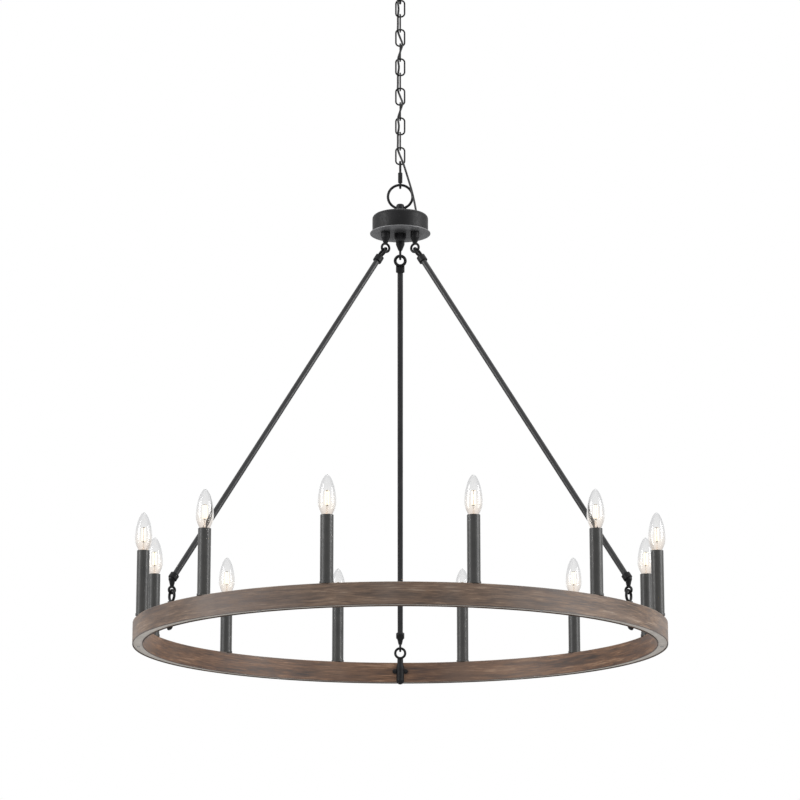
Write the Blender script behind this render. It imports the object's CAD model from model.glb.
import math

import bpy
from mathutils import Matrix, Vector


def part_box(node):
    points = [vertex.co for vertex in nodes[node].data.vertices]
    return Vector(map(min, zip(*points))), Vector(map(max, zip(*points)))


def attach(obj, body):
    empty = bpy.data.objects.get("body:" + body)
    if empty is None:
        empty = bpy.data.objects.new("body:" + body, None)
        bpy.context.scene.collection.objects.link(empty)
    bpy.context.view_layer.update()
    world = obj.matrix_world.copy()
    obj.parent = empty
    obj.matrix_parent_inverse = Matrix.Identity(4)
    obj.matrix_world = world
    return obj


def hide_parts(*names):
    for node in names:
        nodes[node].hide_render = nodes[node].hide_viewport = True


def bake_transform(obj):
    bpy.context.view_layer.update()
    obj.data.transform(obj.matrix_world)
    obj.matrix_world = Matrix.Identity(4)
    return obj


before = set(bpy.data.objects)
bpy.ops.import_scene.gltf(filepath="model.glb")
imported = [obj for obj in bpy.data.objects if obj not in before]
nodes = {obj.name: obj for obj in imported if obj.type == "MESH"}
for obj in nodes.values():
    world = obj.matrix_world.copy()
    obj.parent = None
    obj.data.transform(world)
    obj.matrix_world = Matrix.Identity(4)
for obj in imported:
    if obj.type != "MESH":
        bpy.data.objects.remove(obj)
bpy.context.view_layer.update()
scene = bpy.context.scene

# ---------------------------------------------------------------- camera
camera = bpy.data.cameras.new("camera")
camera.lens, camera.sensor_width, camera.shift_y = 135, 36, 0.03
camera.clip_end = 250
viewer = bpy.data.objects.new("camera", camera)
viewer.location = (-0.0005, -6.105, -2.380)
viewer.rotation_euler = (math.radians(90 + 12.701), 0, 0)
scene.collection.objects.link(viewer)
scene.camera = viewer


# ---------------------------------------------------------------- meshes
def new_object(name, points, faces):
    data = bpy.data.meshes.new(name)
    data.from_pydata([tuple(p) for p in points], [], faces)
    data.validate()
    data.polygons.foreach_set("use_smooth", [True] * len(data.polygons))
    data.update()
    return place(name, data)


def place(name, data):
    obj = bpy.data.objects.new(name, data)
    scene.collection.objects.link(obj)
    return obj


def grid_faces(rows, around, closed=False):
    faces = []
    for i in range(rows if closed else rows - 1):
        a, b = i * around, (i + 1) % rows * around
        for j in range(around):
            k = (j + 1) % around
            faces.append((a + j, a + k, b + k, b + j))
    return faces


def revolve(outline, sides):
    """A closed outline of (radius, height) turned about Z."""
    points = [(r * math.cos(2 * math.pi * j / sides), r * math.sin(2 * math.pi * j / sides), z)
              for r, z in outline for j in range(sides)]
    return points, grid_faces(len(outline), sides, closed=True)


def tube(path, radius, sides):
    """A capped tube along a path."""
    points, side = [], Vector((1, 0, 0))
    for i, p in enumerate(path):
        along = (path[min(i + 1, len(path) - 1)] - path[max(i - 1, 0)]).normalized()
        side = (side - along * side.dot(along)).normalized()
        up = along.cross(side)
        for j in range(sides):
            a = 2 * math.pi * j / sides
            points.append(p + radius * (math.cos(a) * side + math.sin(a) * up))
    last = (len(path) - 1) * sides
    caps = [tuple(reversed(range(sides))), tuple(range(last, last + sides))]
    return points, grid_faces(len(path), sides) + caps


def join(*parts):
    points, faces = [], []
    for p, f in parts:
        faces += [tuple(i + len(points) for i in face) for face in f]
        points += list(p)
    return points, faces


# ---------------------------------------------------------------- finishes
def rgb(r, g, b):
    """A colour as it is seen, 0 to 255, in linear light."""
    return tuple((c / 255 / 12.92 if c <= 10 else ((c / 255 + 0.055) / 1.055) ** 2.4)
                 for c in (r, g, b)) + (1,)


class Finish:
    """A node material, built up by short calls."""

    def __init__(self, name, **values):
        self.material = bpy.data.materials.new(name)
        self.material.use_nodes = True
        self.tree = self.material.node_tree
        self.tree.nodes.clear()
        self.shader = self.node("ShaderNodeBsdfPrincipled")
        self.node("ShaderNodeOutputMaterial", {"Surface": self.shader.outputs[0]})
        self.at = self.node("ShaderNodeTexCoord").outputs["Object"]
        self.put({k.replace("_", " "): v for k, v in values.items()})

    def node(self, kind, inputs=None, **settings):
        made = self.tree.nodes.new(kind)
        for k, v in settings.items():
            setattr(made, k, v)
        self.fill(made, inputs or {})
        return made

    def fill(self, made, inputs):
        for k, v in inputs.items():
            if isinstance(v, bpy.types.NodeSocket):
                self.tree.links.new(v, made.inputs[k])
            else:
                made.inputs[k].default_value = v

    def put(self, inputs):
        self.fill(self.shader, inputs)

    def math(self, operation, a, b=0.0):
        return self.node("ShaderNodeMath", {0: a, 1: b}, operation=operation).outputs[0]

    def split(self):
        parts = self.node("ShaderNodeSeparateXYZ", {0: self.at}).outputs
        return parts[0], parts[1], parts[2]

    def radius(self):
        x, y, _ = self.split()
        squares = self.math("ADD", self.math("MULTIPLY", x, x), self.math("MULTIPLY", y, y))
        return self.math("SQRT", squares)

    def vector(self, x, y, z):
        return self.node("ShaderNodeCombineXYZ", {0: x, 1: y, 2: z}).outputs[0]

    def noise(self, scale, detail=3, roughness=0.5, at=None, distortion=0.0):
        return self.node("ShaderNodeTexNoise", {
            "Vector": self.at if at is None else at, "Scale": scale, "Detail": detail,
            "Roughness": roughness, "Distortion": distortion}).outputs[0]

    def level(self, value, low, high, to_low=0.0, to_high=1.0):
        return self.node("ShaderNodeMapRange", {
            "Value": value, "From Min": low, "From Max": high,
            "To Min": to_low, "To Max": to_high}).outputs[0]

    def ramp(self, value, *stops):
        made = self.node("ShaderNodeValToRGB", {0: value})
        band = made.color_ramp.elements
        while len(band) < len(stops):
            band.new(0.5)
        for element, (spot, colour) in zip(band, stops):
            element.position, element.color = spot, colour
        return made.outputs[0]

    def mix(self, share, a, b, blend="MIX"):
        made = self.node("ShaderNodeMix", data_type="RGBA", blend_type=blend)
        self.fill(made, {0: share, 6: a, 7: b})
        return made.outputs[2]

    def bump(self, height, distance, strength=1.0, under=None):
        inputs = {"Height": height, "Distance": distance, "Strength": strength}
        if under is not None:
            inputs["Normal"] = under
        return self.node("ShaderNodeBump", inputs).outputs[0]


def coated(name, dark, light, rough=(0.42, 0.56), grain=1100, depth=0.00005, **values):
    """Paint, plating or moulded plastic: soft patches of tone, uneven gloss and a fine grain."""
    f = Finish(name, **values)
    patches = f.noise(30, 4, 0.6)
    f.put({
        "Base Color": f.mix(f.level(patches, 0.32, 0.68), dark, light),
        "Roughness": f.level(f.noise(160, 3), 0.3, 0.7, *rough),
        "Normal": f.bump(f.noise(grain, 2), depth)})
    return f


def brushed(name, dark, light, rough, middle, pitch=1500):
    """Turned or pressed sheet metal with fine circular lines round the vertical axis.
    middle is a darker colour towards the axis and the radii where it begins and ends to fade."""
    f = Finish(name)
    x, y, z = f.split()
    rings = f.math("MULTIPLY", f.math("ADD", f.radius(), z), pitch)
    wound = f.vector(f.math("MULTIPLY", x, 20), f.math("MULTIPLY", y, 20), rings)
    lines = f.noise(1, 3, 0.6, wound)
    patches = f.math("ADD", f.math("MULTIPLY", f.noise(24, 4), 0.6), f.math("MULTIPLY", lines, 0.4))
    colour = f.mix(f.level(patches, 0.36, 0.64), dark, light)
    colour = f.mix(f.level(f.radius(), *middle[1:], 1.0, 0.0), colour, middle[0])
    f.put({
        "Base Color": colour,
        "Roughness": f.level(lines, 0.3, 0.7, *rough),
        "Normal": f.bump(lines, 0.00004)})
    return f


def threaded(name, dark, light, pitch, rough=(0.25, 0.4)):
    """Brass with a screw thread along the vertical axis."""
    f = Finish(name, Metallic=1.0)
    _, _, z = f.split()
    turns = f.math("SINE", f.math("MULTIPLY", z, 2 * math.pi / pitch))
    f.put({
        "Base Color": f.mix(f.level(f.noise(60, 4), 0.3, 0.7), dark, light),
        "Roughness": f.level(f.noise(220, 3), 0.3, 0.7, *rough),
        "Normal": f.bump(turns, 0.0002)})
    return f


def wood_look():
    """Painted grain that runs round the ring, on its faces and on its edges, with worn corners."""
    f = Finish("ring_finish", IOR=1.5)
    x, y, z = f.split()
    rise = f.math("ADD", z, f.radius())

    def grain(along, across, detail, distortion=0.0):
        at = f.vector(f.math("MULTIPLY", x, along), f.math("MULTIPLY", y, along),
                      f.math("MULTIPLY", rise, across))
        return f.noise(1, detail, 0.62, at, distortion)

    broad, streak, fine = grain(7, 70, 3, 0.4), grain(26, 420, 5, 0.3), grain(80, 1500, 3)
    tone = f.math("ADD", f.math("MULTIPLY", broad, 0.45), f.math("MULTIPLY", streak, 0.55))
    colour = f.ramp(
        f.level(tone, 0.36, 0.64),
        (0.0, rgb(50, 37, 29)), (0.28, rgb(78, 60, 47)), (0.5, rgb(102, 80, 63)),
        (0.72, rgb(124, 99, 78)), (1.0, rgb(158, 139, 122)))
    patch = f.noise(7, 3)
    colour = f.mix(f.level(patch, 0.45, 0.72, 0.0, 0.5), colour, rgb(126, 113, 104))
    # the inner face is browner
    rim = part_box("ring_channel")[1].x
    inner = f.level(f.radius(), rim - 0.019, rim - 0.008, 0.75, 0.0)
    colour = f.mix(inner, colour, rgb(255, 226, 198), "MULTIPLY")
    colour = f.mix(f.level(f.noise(4.5, 2), 0.5, 0.72, 0.0, 0.5), colour, rgb(72, 53, 44))
    colour = f.mix(f.level(fine, 0.52, 0.75, 0.0, 0.5), colour, rgb(54, 41, 35))
    # the lower corners show the dark metal, and the upper ones are rubbed paler
    top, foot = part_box("ring_channel")[1].z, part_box("ring_channel")[0].z
    ragged = f.math("MULTIPLY", f.noise(90, 4), 0.0016)
    low = f.level(f.math("SUBTRACT", z, ragged), foot + 0.0003, foot + 0.0011, 0.6, 0.0)
    high = f.level(f.math("ADD", z, ragged), top - 0.0006, top + 0.0008, 0.0, 0.6)
    colour = f.mix(low, colour, rgb(48, 40, 37))
    colour = f.mix(high, colour, rgb(150, 137, 126))
    relief = f.bump(streak, 0.00025, 0.6)
    f.put({
        "Base Color": colour,
        "Roughness": f.level(streak, 0.3, 0.7, 0.42, 0.58),
        "Normal": f.bump(fine, 0.0001, 0.6, relief)})
    return f


def clear_glass():
    """Thin blown glass that greys where it is seen edge on, warm and bright round the filaments."""
    f = Finish("bulb_glass", Transmission_Weight=1.0, IOR=1.28)
    _, _, z = f.split()
    edge = f.node("ShaderNodeLayerWeight", {"Blend": 0.35}).outputs["Facing"]
    warm = f.ramp(f.level(z, 0.0, 0.085),
                  (0.0, rgb(241, 233, 226)), (0.3, rgb(247, 244, 240)), (0.62, rgb(243, 243, 243)))
    f.put({
        "Base Color": f.mix(f.level(edge, 0.05, 0.8, 0.0, 0.8), warm, rgb(206, 206, 208)),
        "Roughness": f.level(f.noise(80, 2), 0.3, 0.7, 0.0, 0.008),
        "Normal": f.bump(f.noise(60, 2), 0.0002, 0.06),
        "Emission Color": rgb(255, 246, 234),
        "Emission Strength": f.math("MULTIPLY", f.level(z, -0.004, 0.03, 0.4, 1.0),
                                    f.level(z, 0.034, 0.066, 0.02, 0.0))})
    return f


def glowing():
    """A lit filament, unevenly warm along its length."""
    f = Finish("filament", Base_Color=rgb(255, 220, 160), Roughness=0.5)
    glow = f.ramp(f.noise(300, 2), (0.3, rgb(255, 226, 190)), (0.7, rgb(255, 242, 222)))
    f.put({"Emission Color": glow, "Emission Strength": 1.6})
    return f


FINISHES = {
    "black_metal": coated("black_metal", rgb(13, 13, 14), rgb(26, 26, 28), Specular_IOR_Level=0.22),
    "rod_metal": coated("rod_metal", rgb(32, 32, 33), rgb(45, 45, 46), (0.34, 0.46),
                        Specular_IOR_Level=0.4),
    "sleeve_metal": coated("sleeve_metal", rgb(46, 46, 45), rgb(58, 57, 55), (0.32, 0.44),
                           Specular_IOR_Level=0.42),
    "plate_metal": brushed("plate_metal", rgb(98, 98, 99), rgb(120, 120, 121), (0.4, 0.55),
                           middle=(rgb(52, 52, 53), 0.034, 0.052)),
    "ring_finish": wood_look(),
    "ring_underside": coated("ring_underside", rgb(196, 188, 178), rgb(220, 212, 202), (0.5, 0.65)),
    "zinc": coated("zinc", rgb(170, 170, 168), rgb(205, 204, 200), (0.22, 0.4), Metallic=1.0),
    "thread_brass": threaded("thread_brass", rgb(186, 160, 98), rgb(220, 196, 132), 0.00106),
    "ground_green": coated("ground_green", rgb(22, 92, 52), rgb(34, 120, 68), (0.3, 0.45)),
    "cord_jacket": coated("cord_jacket", rgb(30, 30, 31), rgb(42, 42, 43), (0.45, 0.6), grain=700),
    "bulb_glass": clear_glass(),
    "socket_white": coated("socket_white", rgb(224, 218, 204), rgb(238, 234, 222), (0.35, 0.5)),
    "harness_jacket": coated("harness_jacket", rgb(206, 202, 194), rgb(224, 220, 212), (0.4, 0.55)),
    "connector_orange": coated("connector_orange", rgb(196, 104, 40), rgb(222, 128, 58),
                               (0.35, 0.5)),
}
FILAMENT = glowing()
SCREW_BASE = coated("screw_base", rgb(176, 150, 96), rgb(214, 190, 136), (0.22, 0.4), Metallic=1.0)
INSULATOR = coated("insulator", rgb(24, 24, 25), rgb(38, 37, 36), (0.3, 0.5))
WIRE = coated("wire", rgb(150, 146, 138), rgb(190, 184, 172), (0.25, 0.4), Metallic=1.0)

for obj in nodes.values():
    for slot in obj.material_slots:
        slot.material = FINISHES[slot.material.name.split(".")[0]].material


def dress(obj, finish, body):
    obj.data.materials.clear()
    obj.data.materials.append(finish.material)
    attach(obj, body)
    return obj


# ---------------------------------------------------------------- cord
CORD_D = 0.0045
# The route from the ceiling tube, in and out of the chain, into the hub, in mm
ROUTE = [
    (0, 0, -3), (0, 0, -22), (0, 0, -42), (-2.6, -2.4, -56),
    (-5.2, -4.8, -71), (-3.6, 0, -87), (-5, 5, -104), (-5, 5, -120.5),
    (-5, 5, -137), (0, 0, -154), (4.6, -4.6, -170.5), (0, -5, -187),
    (-4.6, -4.6, -203.5), (-2.8, 0, -220), (-5, 5, -237), (-5, 5, -253.5),
    (-5, 5, -270), (0, 0, -286.5), (4.6, -4.6, -303), (0, -5, -320),
    (-4.6, -4.6, -336.5), (-2.8, 0, -353), (-5, 5, -369.5), (-5, 5, -386),
    (-5, 5, -403), (0, 0, -419.5), (6, -5, -436), (11.8, -5.6, -454.5),
    (17.5, -6, -474), (23, -6.2, -493), (27.6, -6.2, -512), (31, -6, -529),
    (33.4, -5.4, -543), (34, -5, -554), (34, -5, -568)]
HOLDERS = ["ceiling"] + [f"link_{k:02d}" for k in range(1, 12)] + ["quick_link", "hub_loop", "hub"]
FIRST_LINK_Z, LINK_PITCH = -0.08745, 0.0332
# Heights of the middles of the eleven links, the quick link and the hub's loop. One stretch
# of the cord ends there and the next begins, apart from those that meet round the ninth link
CUTS = [FIRST_LINK_Z - LINK_PITCH * k for k in range(11)] + [-0.4614, -0.50985]
# Heights at which the cord is wholly held by the ceiling fitting and by the hub
# A blend begins and ends this far inside the middles of the two pieces
CORD_SIDES, CORD_STEPS = 16, 6
# Size of the end ring that runs on inside the ninth link's stretch, as a share
TUCK = 0.8


def smooth_path(points, steps):
    """A smooth curve through the points."""
    last, out = len(points) - 1, []
    for i in range(last):
        a, b, c, d = points[max(i - 1, 0)], points[i], points[i + 1], points[min(i + 2, last)]
        for k in range(steps):
            t = k / steps
            out.append(0.5 * (2 * b + (c - a) * t + (2 * a - 5 * b + 4 * c - d) * t * t
                              + (3 * b - a - 3 * c + d) * t ** 3))
    return out + [points[last]]


def cord_stretches():
    """The whole cord as one run of rings, shared out between the pieces that hold it. The
    stretch in the ninth link rides on it, and its neighbours' ends run on inside it."""
    path = smooth_path([Vector(p) / 1000 for p in ROUTE], CORD_STEPS)
    sides = CORD_SIDES
    rings, _ = tube(path, CORD_D / 2, sides)
    holders = list(zip(HOLDERS, HOLDERS[1:]))
    holders[8:10] = [("link_09",)]
    cuts = CUTS[:7] + [(CUTS[7] + CUTS[8]) / 2, (CUTS[8] + CUTS[9]) / 2] + CUTS[10:]
    ends = [0] + [min(range(len(path)), key=lambda i: abs(path[i].z - cut)) for cut in cuts]
    ends.append(len(path) - 1)

    def tucked(i):
        return [path[i] + TUCK * (p - path[i]) for p in rings[i * sides:(i + 1) * sides]]

    for n, (first, last, held) in enumerate(zip(ends, ends[1:], holders)):
        points = rings[first * sides:(last + 1) * sides]
        if held[-1] == "link_08":
            points = points + tucked(last + 1)
        if held[0] == "link_10":
            points = tucked(first - 1) + points
        rows = len(points) // sides
        top = (rows - 1) * sides
        faces = grid_faces(rows, sides) + [
            tuple(reversed(range(sides))), tuple(range(top, top + sides))]
        piece = new_object(f"cord_{n + 1:02d}", points, faces)
        piece.data.materials.append(FINISHES["cord_jacket"].material)
        if len(held) == 1:
            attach(piece, held[0])
        else:
            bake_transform(piece)
        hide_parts("cord")


cord_stretches()

# ---------------------------------------------------------------- bulbs
BULBS, FIRST_BULB, CANDLE_R = 12, -75, 0.537
GLASS_R, NECK_R, GLASS_L, WALL = 0.0175, 0.007, 0.0846, 0.0008
# The glass is widest at this share of its length
WIDEST = 0.36
# Exponents of the glass's side: how its points crowd towards the tip, how its neck opens
# out and how blunt its tip is
CROWD, NECK_CURVE, TIP_CURVE = 1.3, 1.15, 0.52
BASE_R, BASE_L, BASE_WALL, CONTACT_L = 0.00595, 0.0157, 0.0016, 0.002
# The rolled thread's pitch and half its depth, and its distance from the base's two ends
THREAD_PITCH, THREAD_HALF, THREAD_MARGIN = 0.0021, 0.00035, 0.0026
STEM_L, FILAMENT_L, REACH = 0.024, 0.030, 0.0036
# An outline stops this far from the axis that it is turned about
AXIS_R = 0.0002


def glass_outline(radius, neck, length, steps=36):
    """The torpedo's side from its neck to its tip."""
    rows = []
    for i in range(steps + 1):
        u = 1 - (1 - i / steps) ** CROWD
        if u < WIDEST:
            r = neck + (radius - neck) * math.sin(math.pi / 2 * u / WIDEST) ** NECK_CURVE
        else:
            closing = math.cos(math.pi / 2 * (u - WIDEST) / (1 - WIDEST))
            r = radius * max(0.0, closing) ** TIP_CURVE
        rows.append((max(r, AXIS_R), length * u))
    return rows


def glass_mesh():
    outer = glass_outline(GLASS_R, NECK_R, GLASS_L)
    inner = glass_outline(GLASS_R - WALL, NECK_R - WALL, GLASS_L - WALL)
    return revolve(outer + inner[::-1], 56)


def base_mesh():
    """The rolled screw shell, with its rounded thread and its rim under the glass."""
    rows, steps = [], 60
    for i in range(steps + 1):
        z = -BASE_L + THREAD_MARGIN + (BASE_L - 2 * THREAD_MARGIN) * i / steps
        wave = math.cos(2 * math.pi * (z + BASE_L) / THREAD_PITCH)
        rows.append((BASE_R - THREAD_HALF + THREAD_HALF * wave, z))
    rim = [(BASE_R - 0.0002, -0.0024), (BASE_R, -0.0012), (BASE_R, 0.0)]
    inner = [(BASE_R - BASE_WALL, 0.0), (BASE_R - BASE_WALL, -BASE_L + THREAD_MARGIN)]
    return revolve(rows + rim + inner, 40)


def insulator_mesh():
    z = -BASE_L
    return revolve([(0.0027, z + 0.0002), (0.0046, z + 0.0012), (BASE_R - 0.0008, z + 0.0027),
                    (AXIS_R, z + 0.0027), (AXIS_R, z + 0.0002)], 32)


def contact_mesh():
    z = -BASE_L - CONTACT_L
    top = z + CONTACT_L + 0.0003
    return revolve([(AXIS_R, z), (0.0013, z + 0.0001), (0.0022, z + 0.0006), (0.0025, z + 0.0014),
                    (0.0025, top), (AXIS_R, top)], 28)


def stem_mesh():
    """The flared glass mount with its pinch at the top."""
    rows = [(0.0056, 0.0004), (0.0042, 0.0022), (0.0028, 0.005), (0.0021, 0.009), (0.0019, 0.016),
            (0.0021, 0.0205), (0.0023, 0.0225), (0.0014, STEM_L), (AXIS_R, STEM_L),
            (AXIS_R, 0.0004)]
    return revolve(rows, 28)


def four_ways():
    """The directions of the four filaments from the lamp's axis."""
    turns = [math.radians(45 + 90 * k) for k in range(4)]
    return [Vector((math.cos(a), math.sin(a), 0)) for a in turns]


def spider_disc(z):
    """The small disc that a spider's arms start from."""
    low, high = z - 0.0004, z + 0.0004
    return revolve([(0.0016, low), (0.0022, z), (0.0016, high), (AXIS_R, high), (AXIS_R, low)], 20)


def wires_mesh():
    """Two spiders of four arms, which hold the filaments' ends, and the post between them."""
    low, high = STEM_L + 0.0006, STEM_L + FILAMENT_L - 0.0004
    post = [Vector((0, 0, z)) for z in (low, (low + high) / 2, high)]
    parts = [spider_disc(low), spider_disc(high), tube(post, 0.0003, 10)]
    for out in four_ways():
        for z, lift in ((low, 0.0012), (high, -0.0012)):
            level = Vector((0, 0, z))
            arm = [out * 0.0012 + level, out * REACH * 0.75 + level,
                   out * REACH + Vector((0, 0, z + lift))]
            parts.append(tube(arm, 0.00028, 10))
    return join(*parts)


def filament_mesh():
    """Four straight filaments with rounded ends."""
    half, low, high = 0.0007, STEM_L + 0.0018, STEM_L + FILAMENT_L - 0.0016
    rows = [(0.0001, low), (half * 0.7, low + 0.0003), (half, low + 0.0009),
            (half, high - 0.0009), (half * 0.7, high - 0.0003), (0.0001, high)]
    sides = 14
    points, _ = revolve(rows, sides)
    return join(*[([Vector(p) + out * REACH for p in points], grid_faces(len(rows), sides))
                  for out in four_ways()])


BULB_PARTS = [
    ("glass", glass_mesh(), FINISHES["bulb_glass"]), ("base", base_mesh(), SCREW_BASE),
    ("insulator", insulator_mesh(), INSULATOR), ("contact", contact_mesh(), WIRE),
    ("stem", stem_mesh(), FINISHES["bulb_glass"]), ("wires", wires_mesh(), WIRE),
    ("filaments", filament_mesh(), FILAMENT)]


def bulbs():
    """The lamps, which share one mesh for each of their parts."""
    shared = {}
    neck_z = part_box("bulb_01")[1].z - GLASS_L
    for n in range(BULBS):
        name = f"bulb_{n + 1:02d}"
        turn = math.radians(FIRST_BULB + 360 / BULBS * n)
        for part, (points, faces), finish in BULB_PARTS:
            if n == 0:
                obj = new_object(f"{name}_{part}", points, faces)
                shared[part] = obj.data
            else:
                obj = place(f"{name}_{part}", shared[part])
            obj.location = (CANDLE_R * math.cos(turn), CANDLE_R * math.sin(turn), neck_z)
            obj.rotation_euler = (0, 0, turn)
            dress(obj, finish, name)
            if part == "glass":
                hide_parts(name)


bulbs()

# ---------------------------------------------------------------- stage
FLOOR_Z, FLOOR_R = -6, 70
corners = ((-1, -1), (1, -1), (1, 1), (-1, 1))
floor = new_object("floor", [(x * FLOOR_R, y * FLOOR_R, FLOOR_Z) for x, y in corners],
                   [(0, 1, 2, 3)])
pale = Finish("floor", Roughness=0.8)
seen_direct = pale.node("ShaderNodeLightPath").outputs["Is Camera Ray"]
pale.put({
    "Base Color": pale.mix(pale.noise(0.6, 3), rgb(232, 232, 232), rgb(240, 240, 240)),
    "Normal": pale.bump(pale.noise(40, 3), 0.002, 0.2),
    "Emission Color": (1, 1, 1, 1),
    "Emission Strength": pale.math("MULTIPLY", seen_direct, 0.5)})
floor.data.materials.append(pale.material)


def softbox(name, spot, aim, size, power):
    light = bpy.data.lights.new(name, "AREA")
    light.shape, light.size, light.energy = "DISK", size, power
    obj = bpy.data.objects.new(name, light)
    obj.location = spot
    obj.rotation_euler = (Vector(aim) - Vector(spot)).to_track_quat("-Z", "Y").to_euler()
    scene.collection.objects.link(obj)


MIDDLE = (0, 0, -1.0)
softbox("left", (-3.7, -1.4, 0.2), MIDDLE, 2.4, 100)
softbox("right", (3.7, -1.2, 0.0), MIDDLE, 2.4, 110)
softbox("above", (0.4, 0.8, 2.4), MIDDLE, 2.6, 40)

world = bpy.data.worlds.new("world")
scene.world = world
world.use_nodes = True
tree = world.node_tree
tree.nodes.clear()
ray = tree.nodes.new("ShaderNodeLightPath")
lit, seen = (tree.nodes.new("ShaderNodeBackground") for _ in range(2))
lit.inputs[0].default_value, lit.inputs[1].default_value = (0.97, 0.98, 1, 1), 0.55
seen.inputs[0].default_value, seen.inputs[1].default_value = (1, 1, 1, 1), 1.0
either = ray.outputs["Is Camera Ray"]
for other in ("Is Glossy Ray", "Is Transmission Ray"):
    pick = tree.nodes.new("ShaderNodeMath")
    pick.operation = "MAXIMUM"
    tree.links.new(either, pick.inputs[0])
    tree.links.new(ray.outputs[other], pick.inputs[1])
    either = pick.outputs[0]
blend = tree.nodes.new("ShaderNodeMixShader")
tree.links.new(either, blend.inputs[0])
tree.links.new(lit.outputs[0], blend.inputs[1])
tree.links.new(seen.outputs[0], blend.inputs[2])
tree.links.new(blend.outputs[0], tree.nodes.new("ShaderNodeOutputWorld").inputs[0])

scene.view_settings.view_transform = "Standard"
